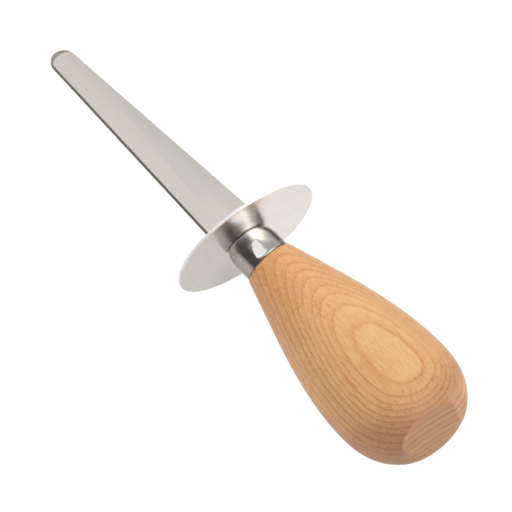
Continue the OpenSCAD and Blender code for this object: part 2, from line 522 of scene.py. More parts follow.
def satin_steel(colour, skew):
    """Ground steel with fine lines along the blade, and a cooler tone past a slanting edge on the flats."""
    material, sketch, shader = new_material("satin_steel")
    place = sketch.mapped(knife_millimetres(sketch), rotation=(0, 0, -skew))
    x, y, _ = sketch.split(place)
    lines = sketch.streaked(place, (0.05, 6, 6), detail=4, roughness=0.6)
    haze = sketch.streaked(place, (0.02, 0.09, 0.09))
    cloud = sketch.noise(place, 0.6, detail=5, roughness=0.65)
    tone = sketch.mix_colour(sketch.ramp(haze, 0.4, 0.6), shaded(colour, 1.02), shaded(colour, 0.98))
    past_edge = y - TONE_EDGE_Y + TONE_EDGE_SLOPE * (x - TONE_EDGE_X)
    beside = sketch.ramp(past_edge, -0.5, 0.5, 1.0, 0.0)
    within = sketch.ramp(x, 12.0, 24.0) * sketch.ramp(x, 50.0, 60.0, 1.0, 0.0)
    tone = sketch.mix_colour(beside * within, tone, shaded(colour, (0.92, 0.94, 0.965)))
    tone = sketch.mix_colour(sketch.ramp(cloud, 0.55, 0.75) * 0.25, tone, shaded(colour, 0.93))
    sketch.feed(shader.inputs["Base Color"], tone)
    shader.inputs["Metallic"].default_value = 1.0
    sketch.feed(shader.inputs["Roughness"], 0.11 + 0.05 * lines)
    sketch.feed(shader.inputs["Normal"], sketch.bump(lines, 0.0015 * MM, 0.5))
    return material


def sheared_steel(colour):
    """Dark, rough steel of a sheared side, with burnish lines along it."""
    material, sketch, shader = new_material("sheared_steel")
    lines = sketch.streaked(knife_millimetres(sketch), (0.05, 3, 5), detail=2)
    tone = sketch.mix_colour(sketch.ramp(lines, 0.3, 0.75), colour, shaded(colour, 1.2))
    sketch.feed(shader.inputs["Base Color"], tone)
    shader.inputs["Metallic"].default_value = 1.0
    sketch.feed(shader.inputs["Roughness"], 0.42 + 0.15 * lines)
    sketch.feed(shader.inputs["Normal"], sketch.bump(lines, 0.004 * MM, 0.5))
    return material


def tip_arc(blade):
    """Middles of the tip's arc and of its grinding, the inner radius, and the angles where both end."""
    tip_x = blade.length + bpy.context.scene.knife_guard.thickness - blade.tip_radius
    half = blade.root_width / 2
    reach = acos(blade.tip_radius / hypot(tip_x, half)) - atan2(tip_x, half)
    end = pi / 2 - reach
    grind_x = tip_x + blade.tip_radius - blade.grind_radius
    inner = blade.grind_radius - blade.grind_length
    offset = tip_x - grind_x
    ground = acos((inner**2 - offset**2 - blade.tip_radius**2) / (2 * offset * blade.tip_radius))
    return tip_x, grind_x, inner, end, ground


def lance_points(blade, guard):
    """The blade's outline in four runs of (place, half thickness), and the places on its ground line."""
    tip_x, grind_x, inner, end, ground = tip_arc(blade)
    top = blade.thickness / 2
    edge = blade.edge_thickness / 2
    ground_steps = 64
    plain_steps = 4
    turn = Matrix.Rotation(blade.skew, 3, "Z")

    def rim(angle):
        x = tip_x + blade.tip_radius * cos(angle)
        y = blade.tip_radius * sin(angle)
        past = hypot(x - grind_x, y) - inner
        height = top - (top - edge) * max(0.0, past) / blade.grind_length
        return turn @ Vector((x, y, 0)), height

    def ground_line(angle):
        return turn @ Vector((grind_x + inner * cos(angle), inner * sin(angle), 0))

    plain = [end + (ground - end) * i / plain_steps for i in range(plain_steps)]
    round_tip = [ground - 2 * ground * i / ground_steps for i in range(ground_steps + 1)]
    line_end = atan2(blade.tip_radius * sin(ground), tip_x - grind_x + blade.tip_radius * cos(ground))
    line = [ground_line(line_end - 2 * line_end * i / ground_steps) for i in range(1, ground_steps)]
    before = [rim(angle) for angle in plain]
    middle = [rim(angle) for angle in round_tip]
    after = [rim(-angle) for angle in reversed(plain)]

    def shoulder(side):
        start = turn @ Vector((0, side * blade.root_width / 2, 0))
        tangent = (before[0] if side > 0 else after[-1])[0]
        step = tangent - start
        lean = guard.lean
        distance = guard.thickness - (start.x * cos(lean) - start.y * sin(lean))
        share = distance / (step.x * cos(lean) - step.y * sin(lean))
        return start + share * step, top

    ferrule_length = bpy.context.scene.knife_ferrule.length
    half = blade.tang_width / 2
    half_end = blade.tang_end_width / 2
    tang = [
        (Vector((seat_x(-half, guard.lean, guard.thickness), -half, 0)), top),
        (Vector((-ferrule_length, -half, 0)), top),
        (Vector((-blade.tang_length, -half_end, 0)), top),
        (Vector((-blade.tang_length, half_end, 0)), top),
        (Vector((-ferrule_length, half, 0)), top),
        (Vector((seat_x(half, guard.lean, guard.thickness), half, 0)), top),
    ]
    return [shoulder(1)] + before, middle, after + [shoulder(-1)], tang, line


# Places of the two steels among the blade's materials
SATIN, SHEARED = 0, 1


def blade_mesh(blade, guard, materials):
    """The blade and tang as one closed solid: flats, ground crescents at the tip, and sheared sides."""
    first, middle, last, tang, line = lance_points(blade, guard)
    rim = first + middle + last + tang
    tip_start, tip_end = len(first), len(first) + len(middle)
    top = blade.thickness / 2
    points, faces, kinds = [], [], []
    rings = {}
    for side in (1, -1):
        rings[side] = []
        for place, height in rim:
            rings[side].append(len(points))
            points.append((place.x, place.y, side * height))
        inner = [rings[side][tip_start]]
        for place in line:
            inner.append(len(points))
            points.append((place.x, place.y, side * top))
        inner.append(rings[side][tip_end - 1])
        faces.append(rings[side][:tip_start] + inner + rings[side][tip_end:])
        kinds.append(SATIN)
        outer = rings[side][tip_start:tip_end]
        for i in range(len(outer) - 1):
            corner = [outer[i], outer[i + 1], inner[i + 1], inner[i]]
            faces.append(list(dict.fromkeys(corner)))
            kinds.append(SATIN)
    last_side = len(rim) - len(tang) - 1
    for i in range(len(rim)):
        following = (i + 1) % len(rim)
        faces.append([rings[1][i], rings[1][following], rings[-1][following], rings[-1][i]])
        kinds.append(SHEARED if i < last_side else SATIN)
    mesh = bpy.data.meshes.new("lance_blade")
    mesh.from_pydata(points, [], faces)
    for material in materials:
        mesh.materials.append(material)
    mesh.polygons.foreach_set("material_index", kinds)
    tidy_mesh(mesh)
    rough = bpy.data.objects.new("lance_blade", mesh)
    bpy.context.collection.objects.link(rough)
    breaking = rough.modifiers.new("Edge break", "BEVEL")
    breaking.width = blade.edge_break
    breaking.segments = 3
    breaking.limit_method = "ANGLE"
    breaking.angle_limit = radians(40)
    breaking.material = SATIN
    return applied(rough)


class KNIFE_OT_blade(bpy.types.Operator):
    """Make the lance blade with its ground tip and its tang"""

    bl_idname = "knife.blade"
    bl_label = "Lance blade"

    def execute(self, context):
        blade = context.scene.knife_blade
        satin = satin_steel(tuple(blade.flat_colour), blade.skew)
        sheared = sheared_steel(tuple(blade.side_colour))
        mesh = blade_mesh(blade, context.scene.knife_guard, [satin, sheared])
        place_piece("lance_blade", mesh, "blade", smooth_angle=radians(24))
        return {"FINISHED"}


# Guard


def polished_sheet(colour, lean, radius):
    """Satin sheet with faint polishing lines and small scratches, and a painted highlight on the rim: a matt,
    near-white edge.
    """
    material, sketch, shader = new_material("polished_sheet")
    place = sketch.mapped(knife_millimetres(sketch), rotation=(0, 0, lean))
    fine = sketch.streaked(place, (1, 0.9, 5), detail=5, roughness=0.6)
    cloud = sketch.noise(place, 0.12, detail=2)
    tone = sketch.mix_colour(sketch.ramp(cloud, 0.35, 0.7), colour, shaded(colour, 0.96))
    slanting = sketch.mapped(place, rotation=(0.6, 0, 0), scale=(0.3, 0.12, 5))
    scratches = sketch.noise(slanting, 1.0, detail=2, distortion=0.4)
    marks = sketch.ramp(scratches, 0.72, 0.78)
    tone = sketch.mix_colour(marks * 0.25, tone, shaded(colour, 0.6))
    _, y, z = sketch.split(place)
    # Painted highlight: the rim is made a matt, near-white edge.
    rim_start, rim_full = radius - 0.3, radius - 0.1
    rim = sketch.ramp(y * y + z * z, rim_start**2, rim_full**2)
    sketch.feed(shader.inputs["Base Color"], sketch.mix_colour(rim, tone, (1.0, 0.995, 0.985)))
    sketch.feed(shader.inputs["Metallic"], 1 - 0.8 * rim)
    sketch.feed(shader.inputs["Roughness"], 0.25 + 0.06 * fine + 0.1 * marks + 0.2 * rim)
    sketch.feed(shader.inputs["Normal"], sketch.bump(fine, 0.003 * MM, 0.4))
    return material


def slot_edge(guard, angle):
    """Point (y, z) on the slot's rectangle, in the direction of an angle from the +Y side."""
    half_width, half_height = slot_half_sizes(guard)
    tiny = 1e-9
    reach = min(half_width / max(abs(cos(angle)), tiny), half_height / max(abs(sin(angle)), tiny))
    return reach * cos(angle), reach * sin(angle)


def slot_half_sizes(guard):
    """Half the width and half the height of the slots that the tang goes through."""
    blade = bpy.context.scene.knife_blade
    return blade.tang_width / 2 + guard.slot_gap, blade.thickness / 2 + guard.slot_gap


def slot_ring(guard, columns):
    """Points (y, z) round the slot, with its four corners among them."""
    half_width, half_height = slot_half_sizes(guard)
    points = [slot_edge(guard, 2 * pi * i / columns) for i in range(columns)]
    corner = atan2(half_height, half_width)
    for angle, side_y, side_z in (
        (corner, 1, 1), (pi - corner, -1, 1), (pi + corner, -1, -1), (2 * pi - corner, 1, -1)
    ):
        nearest = round(angle / (2 * pi) * columns) % columns
        points[nearest] = (side_y * half_width, side_z * half_height)
    return points


def guard_rings(guard, columns):
    """Rings of points round the guard, from its rear slot over the rim to its front slot."""
    radius = guard.diameter / 2
    edge = guard.edge_radius
    rim_steps = 6
    face_radii = [0.4 * radius, 0.7 * radius]
    profile = [(0.0, r) for r in face_radii]
    profile += [
        (edge - edge * cos(a), radius - edge + edge * sin(a))
        for a in (pi / 2 * i / rim_steps for i in range(rim_steps + 1))
    ]
    profile += [(guard.thickness - x, r) for x, r in reversed(profile)]
    slot = slot_ring(guard, columns)
    angles = [2 * pi * i / columns for i in range(columns)]
    rings = [[Vector((seat_x(y, guard.lean), y, z)) for y, z in slot]]
    for x, r in profile:
        rings.append([leaning((x, r * cos(a), r * sin(a)), guard.lean) for a in angles])
    rings.append([Vector((seat_x(y, guard.lean, guard.thickness), y, z)) for y, z in slot])
    return rings


class KNIFE_OT_guard(bpy.types.Operator):
    """Make the round guard with its rounded rim and the slot for the tang"""

    bl_idname = "knife.guard"
    bl_label = "Round guard"

    def execute(self, context):
        guard = context.scene.knife_guard
        material = polished_sheet(tuple(guard.colour), guard.lean, guard.diameter / 2 / MM)
        mesh = ring_mesh("round_guard", guard_rings(guard, columns=320), material)
        tidy_mesh(mesh)
        place_piece("round_guard", mesh, "guard", smooth_angle=radians(40))
        return {"FINISHED"}


# Ferrule


def drawn_steel(colour):
    """Polished metal with fine lines along the handle's axis, and a painted highlight in the struck mark: its
    floor is a pale, partly matt tone.
    """
    material, sketch, shader = new_material("drawn_steel")
    place = knife_millimetres(sketch)
    lines = sketch.streaked(place, (0.1, 7, 7), detail=4, roughness=0.75)
    smudge = sketch.noise(place, 0.35, detail=3)
    struck = sketch.mark("struck")
    tone = sketch.mix_colour(sketch.ramp(lines, 0.38, 0.7), colour, shaded(colour, 0.86))
    # Painted highlight: the struck mark's floor is pale and partly matt, so that it shines white.
    tone = sketch.mix_colour(struck, tone, (0.97, 0.96, 0.94))
    sketch.feed(shader.inputs["Base Color"], tone)
    sketch.feed(shader.inputs["Metallic"], 1 - 0.6 * struck)
    roughness = 0.13 + 0.05 * sketch.ramp(smudge, 0.3, 0.8) + 0.05 * lines
    sketch.feed(shader.inputs["Roughness"], roughness + struck * 0.1)
    sketch.feed(shader.inputs["Normal"], sketch.bump(lines, 0.006 * MM, 0.5))
    return material


def smooth_step(value):
    value = min(1.0, max(0.0, value))
    return value * value * (3 - 2 * value)


def dent_depth(ferrule, x, angle, radius):
    """Depth of the struck mark: a flat floor with one sharp side, deeper to the rear, with a round end."""
    along = (-ferrule.dent_front - x) / ferrule.dent_length
    from_side = (angle - ferrule.dent_side) * radius
    if along <= 0 or from_side <= 0 or angle > ferrule.dent_turn + pi / 4:
        return 0.0
    wall = 0.12 * MM
    end_middle, end_half, end_drop = 1.7 * MM, 1.6 * MM, 0.1
    fall_power = 1.6
    end = 1.0 - end_drop * ((from_side - end_middle) / end_half) ** 2
    fall = ferrule.dent_fall * (1 - (1 - min(along, 1.0)) ** fall_power)
    floor = ferrule.diameter / 2 * cos(ferrule.dent_turn - ferrule.dent_side) - fall
    depth = max(0.0, radius - floor / cos(angle - ferrule.dent_turn))
    return depth * smooth_step(from_side / wall) * smooth_step((end - along) * ferrule.dent_length / wall)


def ferrule_profile(ferrule):
    """Outer line of the ferrule as (x, radius), from its rear face to the flat against the guard."""
    radius = ferrule.diameter / 2
    lip = ferrule.lip_radius
    lip_steps = 8
    crown_steps = 48
    row_length = 0.1 * MM
    points = [
        (-ferrule.length + lip - lip * cos(a), radius - lip + lip * sin(a))
        for a in (pi / 2 * i / lip_steps for i in range(lip_steps + 1))
    ]
    straight = ferrule.length - lip - ferrule.crown_length
    rows = ceil(straight / row_length)
    points += [(-ferrule.length + lip + straight * i / rows, radius) for i in range(1, rows)]
    points += [
        (-ferrule.crown_length * (1 - sin(a)), radius - ferrule.crown_drop * (1 - cos(a)))
        for a in (pi / 2 * i / crown_steps for i in range(crown_steps + 1))
    ]
    return points


def ferrule_rings(ferrule, guard, columns):
    """Rings of points from the rear over the outside, the slot and the bore, and the mark's depths."""
    bore = ferrule.diameter / 2 - ferrule.wall
    inside_x = -ferrule.wall
    lean_start = -ferrule.length + 2 * ferrule.lip_radius
    lean_end = -ferrule.crown_drop
    angles = [2 * pi * i / columns for i in range(columns)]

    def leaned(x, y, z):
        share = smooth_step((x - lean_start) / (lean_end - lean_start))
        return Vector((x + share * y * tan(guard.lean), y, z))

    rings, depths = [], []
    for x, radius in ferrule_profile(ferrule):
        struck = [dent_depth(ferrule, x, angle if angle < pi else angle - 2 * pi, radius) for angle in angles]
        rings.append([
            leaned(x, (radius - depth) * sin(angle), (radius - depth) * cos(angle))
            for angle, depth in zip(angles, struck)
        ])
        depths += struck
    slot = [slot_edge(guard, pi / 2 - angle) for angle in angles]
    rings.append([Vector((seat_x(y, guard.lean), y, z)) for y, z in slot])
    rings.append([Vector((seat_x(y, guard.lean) + inside_x / cos(guard.lean), y, z)) for y, z in slot])
    rings.append([
        Vector((seat_x(bore * sin(a), guard.lean) + inside_x / cos(guard.lean), bore * sin(a), bore * cos(a)))
        for a in angles
    ])
    rings.append([Vector((-ferrule.length, bore * sin(a), bore * cos(a))) for a in angles])
    return rings, depths


class KNIFE_OT_ferrule(bpy.types.Operator):
    """Make the drawn ferrule with its rounded shoulder, rolled lip and pinning mark"""

    bl_idname = "knife.ferrule"
    bl_label = "Drawn ferrule"

    def execute(self, context):
        ferrule = context.scene.knife_ferrule
        rings, depths = ferrule_rings(ferrule, context.scene.knife_guard, columns=480)
        mesh = ring_mesh("drawn_ferrule", rings, drawn_steel(tuple(ferrule.colour)))
        full_depth = 0.02 * MM
        struck = [min(1.0, depth / full_depth) for depth in depths]
        struck += [0.0] * (len(mesh.vertices) - len(struck))
        mesh.attributes.new("struck", "FLOAT", "POINT").data.foreach_set("value", struck)
        tidy_mesh(mesh)
        place_piece("drawn_ferrule", mesh, "ferrule", smooth_angle=radians(50))
        return {"FINISHED"}


# Handle


# Heights in millimetres, from the uppermost down, of the rings that show on top of the belly
RING_HEIGHTS = (14.02, 13.43, 12.86, 12.39, 11.74, 11.1, 10.35, 9.37)
RING_TOP = 15.2
RING_SPACING = 1.67
# Bend of the ring sheets: rise to the butt from the middle, arch across, and tilt with its twist
RING_MIDDLE_X = -40
RING_RISE = 0.0241
RING_ARCH = 0.0091
RING_TILT, RING_TWIST = 0.0156, 0.00135


def ring_count(sketch, place):
    """Growth rings above a point, and its height among them: sheets that arch and rise to the butt."""
    x, y, z = sketch.split(place)
    behind = x - RING_MIDDLE_X
    broad = sketch.streaked(place, (0.05, 0.12, 0.1))
    narrow = sketch.streaked(place, (0.16, 0.6, 0.3), detail=2)
    fibre = sketch.streaked(place, (0.3, 2.2, 1.2))
    height = z + RING_RISE * behind + RING_ARCH * y * y + (RING_TILT + RING_TWIST * behind) * y
    height = height + 0.3 * (broad - 0.5) + 0.07 * (narrow - 0.5) + 0.025 * (fibre - 0.5)
    reach = RING_TOP - RING_HEIGHTS[-1]
    share = sketch.math("MINIMUM", (RING_TOP - height) / reach, 1.0)
    curve = sketch.add("ShaderNodeFloatCurve", {"Value": share})
    line = curve.mapping.curves[0]
    total = len(RING_HEIGHTS)
    line.points[0].location = (0.0, 0.0)
    line.points[1].location = (1.0, 1.0)
    for i, ring in enumerate(RING_HEIGHTS[:-1]):
        line.points.new((RING_TOP - ring) / reach, (i + 1) / total)
    for point in line.points:
        point.handle_type = "VECTOR"
    curve.mapping.update()
    above = Term(sketch, curve.outputs["Value"]) * total
    below = sketch.math("MAXIMUM", RING_HEIGHTS[-1] - height, 0.0) / RING_SPACING
    return above + below, height


def ringed_tone(sketch, place, handle, count, strength):
    """Colour of the wood between and on its ring lines, with painted shade on the left side of the handle."""
    x, y, _ = sketch.split(place)
    pale, ring = tuple(handle.pale_colour), tuple(handle.ring_colour)
    phase = sketch.math("FRACT", count)
    side = sketch.ramp(y, 5.0, 14.0, 1.0, 0.85)
    line = sketch.ramp(phase, 0.0, 0.05, 0.3, 1.0) * sketch.ramp(phase, 0.06, 0.27, 1.0, 0.0)
    line = (line + 0.3 * sketch.ramp(phase, 0.88, 1.0)) * side
    band = sketch.ramp(phase, 0.05, 0.8, 1.0, 0.0) * side
    patch = sketch.streaked(place, (0.03, 0.08, 0.08))
    warm = shaded(pale, (0.93, 0.85, 0.78))
    tone = sketch.mix_colour(band * sketch.ramp(patch, 0.3, 0.7, 0.5, 1.0), pale, warm)
    near_butt = sketch.ramp(x, -70.0, -54.0, 1.0, 0.0) * sketch.ramp(y, -6.0, 8.0, 1.0, 0.4)
    depth = sketch.ramp(strength, 0.25, 0.7, 0.25, 0.52) + 0.18 * near_butt
    # Painted shade on the handle's left side: its ring lines are deeper and bluer there.
    depth = depth + sketch.ramp(y, 6.0, 12.0, 0.0, 0.16)
    line_tone_shaded_left = sketch.mix_colour(sketch.ramp(y, 4.0, 12.0), ring, shaded(ring, (0.83, 0.82, 0.92)))
    return sketch.mix_colour(sketch.math("MINIMUM", line * depth, 1.0), tone, line_tone_shaded_left)


# Place of the faint knot on top of the belly, in millimetres
KNOT_X, KNOT_Y = -53.3, -3.0


def grained_tone(sketch, place, handle, tone, grain, pore):
    """The ringed wood with its grain, streaks, faint knot and pores, darker and pinker towards the neck, and
    with painted shade towards the butt and its lower side.
    """
    x, y, z = sketch.split(place)
    streaks = sketch.streaked(place, (0.025, 2.4, 2.4), detail=2, roughness=0.6)
    streak = sketch.ramp(streaks, 0.46, 0.62) * sketch.ramp(y, 1.0, 9.0, 0.2, 0.6)
    past, beside = x - KNOT_X, y - KNOT_Y
    knot = sketch.ramp(past * past * 0.6 + beside * beside * 2.0, 0.1, 1.2, 0.3, 0.0)
    tone = sketch.mix_colour(sketch.ramp(grain, 0.4, 0.62), tone, (0.925, 0.815, 0.71), "MULTIPLY")
    tone = sketch.mix_colour(streak, tone, (0.925, 0.8, 0.71), "MULTIPLY")
    tone = sketch.mix_colour(knot * sketch.ramp(z, 0.0, 1.0), tone, tuple(handle.ring_colour))
    tone = sketch.mix_colour(pore * 0.55, tone, (0.76, 0.56, 0.44), "MULTIPLY")
    tone = sketch.mix_colour(sketch.ramp(x, -42.0, -12.0), tone, (0.9, 0.82, 0.78), "MULTIPLY")
    # Painted shade: the butt and its lower side are darker and pinker.
    butt = sketch.ramp(x + 0.8 * z, -65.0, -50.0, 1.0, 0.0)
    return sketch.mix_colour(butt, tone, (0.8, 0.73, 0.8), "MULTIPLY")


# Height in millimetres between the darker lines on the sanded flat
FLAT_LINE_SPACING = 1.8


def end_grain_tone(sketch, place, handle, height, strength, pore, wear_and_highlight):
    """Colour of the sanded flat: pinker and paler layers with darker lines across it, pores, and a lighter
    band along the crease that is wear and painted highlight.
    """
    flat = tuple(handle.flat_colour)
    sheets = sketch.noise(sketch.join(0.3, 0.7, height * 0.8), 1.0, detail=1)
    wave = sketch.noise(place, 0.4, detail=1)
    phase = sketch.math("FRACT", 0.3 * wave - height / FLAT_LINE_SPACING)
    line = sketch.ramp(phase, 0.0, 0.12) * sketch.ramp(phase, 0.16, 0.46, 1.0, 0.0)
    line = line * sketch.ramp(strength, 0.3, 0.6, 0.55, 1.0)
    tone = sketch.mix_colour(sketch.ramp(sheets, 0.42, 0.62) * 0.7, flat, shaded(flat, (0.9, 0.8, 0.78)))
    tone = sketch.mix_colour(line, tone, shaded(flat, (0.76, 0.55, 0.45)))
    # Wear and painted highlight: the lines fade out along the crease.
    tone = sketch.mix_colour(wear_and_highlight * 0.4, tone, flat)
    return sketch.mix_colour(pore * 0.35, tone, shaded(flat, 0.7))


def sanded_wood(handle, neck_x):
    """Pale close-grained wood, sanded and oiled, with ring lines, short pores and a sanded flat."""
    material, sketch, shader = new_material("sanded_wood")
    place = knife_millimetres(sketch)
    x, y, z = sketch.split(place)
    count, height = ring_count(sketch, place)
    strength = sketch.streaked(place, (0.05, 0.2, 0.9))
    grain = sketch.streaked(place, (0.14, 2.2, 2.2), detail=3, roughness=0.75)
    pore = sketch.ramp(sketch.streaked(place, (0.6, 2.6, 2.6)), 0.6, 0.7)

    tone = ringed_tone(sketch, place, handle, count, strength)
    tone = grained_tone(sketch, place, handle, tone, grain, pore)
    fade = sketch.ramp(-1 * y, 3.5, 8.0) + sketch.ramp(z, 2.0, 6.5, 1.0, 0.0)
    sanded = sketch.mark("sanded") / MM
    on_flat = sketch.ramp(sanded / (0.12 + 1.4 * fade), 0.0, 1.0)
    # Lighter band inside the flat along its crease: wear, and a painted highlight along the edge.
    wear_and_highlight = on_flat * sketch.ramp(sanded, 0.2, 1.1, 1.0, 0.0)
    on_flat = sketch.math("MAXIMUM", on_flat, sketch.ramp(-1 * x - 0.35 * y, 72.5, 79.0))
    flat_tone = end_grain_tone(sketch, place, handle, height, strength, pore, wear_and_highlight)
    tone = sketch.mix_colour(on_flat, tone, flat_tone)
    # Painted shade: a dark line on the wood where it meets the ferrule's lip, the shade of the gap between
    # them.
    gap_shade = sketch.ramp(x, neck_x / MM - 0.45, neck_x / MM - 0.12)
    tone = sketch.mix_colour(gap_shade * 0.85, tone, (0.11, 0.07, 0.045))

    sketch.feed(shader.inputs["Base Color"], tone)
    sketch.feed(shader.inputs["Roughness"], 0.42 + 0.12 * grain + 0.14 * on_flat)
    shader.inputs["Sheen Weight"].default_value = 0.25
    sketch.feed(shader.inputs["Normal"], sketch.bump(grain - pore, 0.012 * MM, 0.3))
    return material


def handle_inputs(handle, neck_x):
    """Names and values of the handle tree's inputs."""
    return {
        "Neck place": neck_x,
        "Length": handle.length,
        "Neck diameter": handle.neck_diameter,
        "Belly width": handle.belly_width,
        "Belly thickness": handle.belly_thickness,
        "Belly place": handle.belly_at,
        "Neck slope": handle.neck_slope,
        "Butt fullness": handle.butt_fullness,
        "Neck rounding": handle.neck_round,
        "Flat place": handle.flat_at,
        "Flat slope": handle.flat_slope,
        "Flat turn": handle.flat_turn,
        "Crisp crease": handle.crease_crisp,
        "Soft crease": handle.crease_soft,
    }


def handle_tree(names):
    """Geometry Nodes that wrap a grid round the pear shape and sand the flat on its butt."""
    tree = bpy.data.node_groups.new("Pear handle", "GeometryNodeTree")
    interface = tree.interface
    for name in names:
        interface.new_socket(name=name, in_out="INPUT", socket_type="NodeSocketFloat")
    interface.new_socket(name="Rows", in_out="INPUT", socket_type="NodeSocketInt")
    interface.new_socket(name="Columns", in_out="INPUT", socket_type="NodeSocketInt")
    interface.new_socket(name="Wood", in_out="INPUT", socket_type="NodeSocketMaterial")
    interface.new_socket(name="Geometry", in_out="OUTPUT", socket_type="NodeSocketGeometry")
    sketch = Sketch(tree)
    given = sketch.add("NodeGroupInput").outputs
    size = {name: Term(sketch, given[name]) for name in names}

    rows = Term(sketch, given["Rows"]) + 1
    columns = Term(sketch, given["Columns"]) + 1
    grid_inputs = {"Size X": 1.0, "Size Y": 1.0, "Vertices X": rows, "Vertices Y": columns}
    grid = sketch.add("GeometryNodeMeshGrid", grid_inputs)
    u, v, _ = sketch.split(sketch.add("GeometryNodeInputPosition").outputs["Position"])
    turn = (v + 0.5) * (2 * pi)
    behind = size["Length"] * 0.5 * (1 - sketch.math("COSINE", (u + 0.5) * pi))

    share = behind / size["Belly place"]
    rest = 1 - share
    from_neck = size["Neck diameter"] * 0.5 * (1 + 2 * share) * rest * rest
    from_slope = size["Neck slope"] * size["Belly place"] * share * rest * rest
    to_belly = share * share * (3 - 2 * share)
    past = sketch.math("MAXIMUM", behind - size["Belly place"], 0.0) / (size["Length"] - size["Belly place"])
    remaining = 1 - sketch.math("POWER", past, size["Butt fullness"])
    butt = sketch.math("SQRT", sketch.math("MAXIMUM", remaining, 0.0))
    before = sketch.math("LESS_THAN", behind, size["Belly place"])
    rounding = size["Neck rounding"]
    left = rounding - sketch.math("MINIMUM", behind, rounding)
    cut = rounding - sketch.math("SQRT", rounding * rounding - left * left)

    def half_size(full):
        top = full * 0.5
        rise = from_neck + from_slope + top * to_belly
        return before * rise + (1 - before) * top * butt - cut

    x = size["Neck place"] - behind
    y = half_size(size["Belly width"]) * sketch.math("COSINE", turn)
    z = half_size(size["Belly thickness"]) * sketch.math("SINE", turn)

    cos_slope = sketch.math("COSINE", size["Flat slope"])
    normal_x = -(cos_slope * sketch.math("COSINE", size["Flat turn"]))
    normal_y = -(cos_slope * sketch.math("SINE", size["Flat turn"]))
    normal_z = sketch.math("SINE", size["Flat slope"])
    over = normal_x * x + normal_y * y + normal_z * z - cos_slope * size["Flat place"]
    crisp_y, crisp_z, soft_z = 5 * MM, 5 * MM, 1 * MM
    crisp_reach, soft_reach = 9.5 * MM, 14 * MM
    side = sketch.ramp(sketch.math("ABSOLUTE", y - crisp_y), crisp_reach, soft_reach)
    low = sketch.ramp(z, soft_z, crisp_z, 1.0, 0.0)
    softness = sketch.math("MAXIMUM", side, low)
    crease = size["Crisp crease"] + softness * (size["Soft crease"] - size["Crisp crease"])
    near = sketch.math("MAXIMUM", 1 - sketch.math("ABSOLUTE", over) / crease, 0.0)
    sanded = sketch.math("MAXIMUM", over, 0.0) + crease * 0.25 * near * near

    place = sketch.join(x - sanded * normal_x, y - sanded * normal_y, z - sanded * normal_z)
    marked = sketch.add(
        "GeometryNodeStoreNamedAttribute",
        {"Geometry": grid.outputs["Mesh"], "Name": "sanded", "Value": sanded},
        data_type="FLOAT",
        domain="POINT",
    )
    wrapped = sketch.add("GeometryNodeSetPosition", {"Geometry": marked.outputs[0], "Position": place})
    seamed = sketch.add("GeometryNodeMergeByDistance", {"Geometry": wrapped.outputs[0], "Distance": DOUBLES})
    real = sketch.add("GeometryNodeRealizeInstances", {"Geometry": seamed.outputs[0]})
    painted = sketch.add("GeometryNodeSetMaterial", {"Geometry": real.outputs[0], "Material": given["Wood"]})
    sketch.add("NodeGroupOutput", {"Geometry": painted.outputs["Geometry"]})
    return tree


def handle_skin(handle, neck_x, material):
    """The outside of the handle, open at the neck."""
    values = handle_inputs(handle, neck_x)
    tree = handle_tree(values)
    mesh = bpy.data.meshes.new("pear_handle")
    rough = bpy.data.objects.new("pear_handle", mesh)
    bpy.context.collection.objects.link(rough)
    modifier = rough.modifiers.new("Pear handle", "NODES")
    modifier.node_group = tree
    values |= {"Rows": handle.rows, "Columns": handle.columns, "Wood": material}
    for socket in tree.interface.items_tree:
        if socket.in_out == "INPUT":
            modifier[socket.identifier] = values[socket.name]
    return applied(rough)


def close_neck(mesh, handle, ferrule, guard):
    """Adds the neck's face, the spigot that fills the ferrule, and the bore for the tang."""
    spigot = handle.spigot_diameter / 2
    bore = handle.bore_diameter / 2
    gap = ferrule.diameter / 2 - ferrule.wall - spigot
    front_x = -ferrule.wall / cos(guard.lean) - (spigot + gap) * tan(guard.lean) - gap
    bore_end_x = -bpy.context.scene.knife_blade.tang_length - handle.bore_extra
    work = bmesh.new()
    work.from_mesh(mesh)
    bmesh.ops.remove_doubles(work, verts=work.verts, dist=10 * DOUBLES)
    rim = [edge for edge in work.edges if edge.is_boundary]
    steps = [(-ferrule.length, spigot), (front_x, spigot), (front_x, bore), (bore_end_x, bore)]
    for x, radius in steps:
        grown = bmesh.ops.extrude_edge_only(work, edges=rim)["geom"]
        rim = [item for item in grown if isinstance(item, bmesh.types.BMEdge) and item.is_boundary]
        for vertex in {vertex for edge in rim for vertex in edge.verts}:
            flat = Vector((0, vertex.co.y, vertex.co.z)).normalized() * radius
            vertex.co = Vector((x, flat.y, flat.z))
    bmesh.ops.contextual_create(work, geom=rim)
    work.to_mesh(mesh)
    work.free()


class KNIFE_OT_handle(bpy.types.Operator):
    """Make the pear-shaped wooden handle with its sanded flat, spigot and bore"""

    bl_idname = "knife.handle"
    bl_label = "Pear handle"

    def execute(self, context):
        scene = context.scene
        handle = scene.knife_handle
        neck_x = -scene.knife_ferrule.length
        mesh = handle_skin(handle, neck_x, sanded_wood(handle, neck_x))
        close_neck(mesh, handle, scene.knife_ferrule, scene.knife_guard)
        tidy_mesh(mesh)
        place_piece("pear_handle", mesh, "handle", smooth_angle=radians(50))
        return {"FINISHED"}


# Bedding


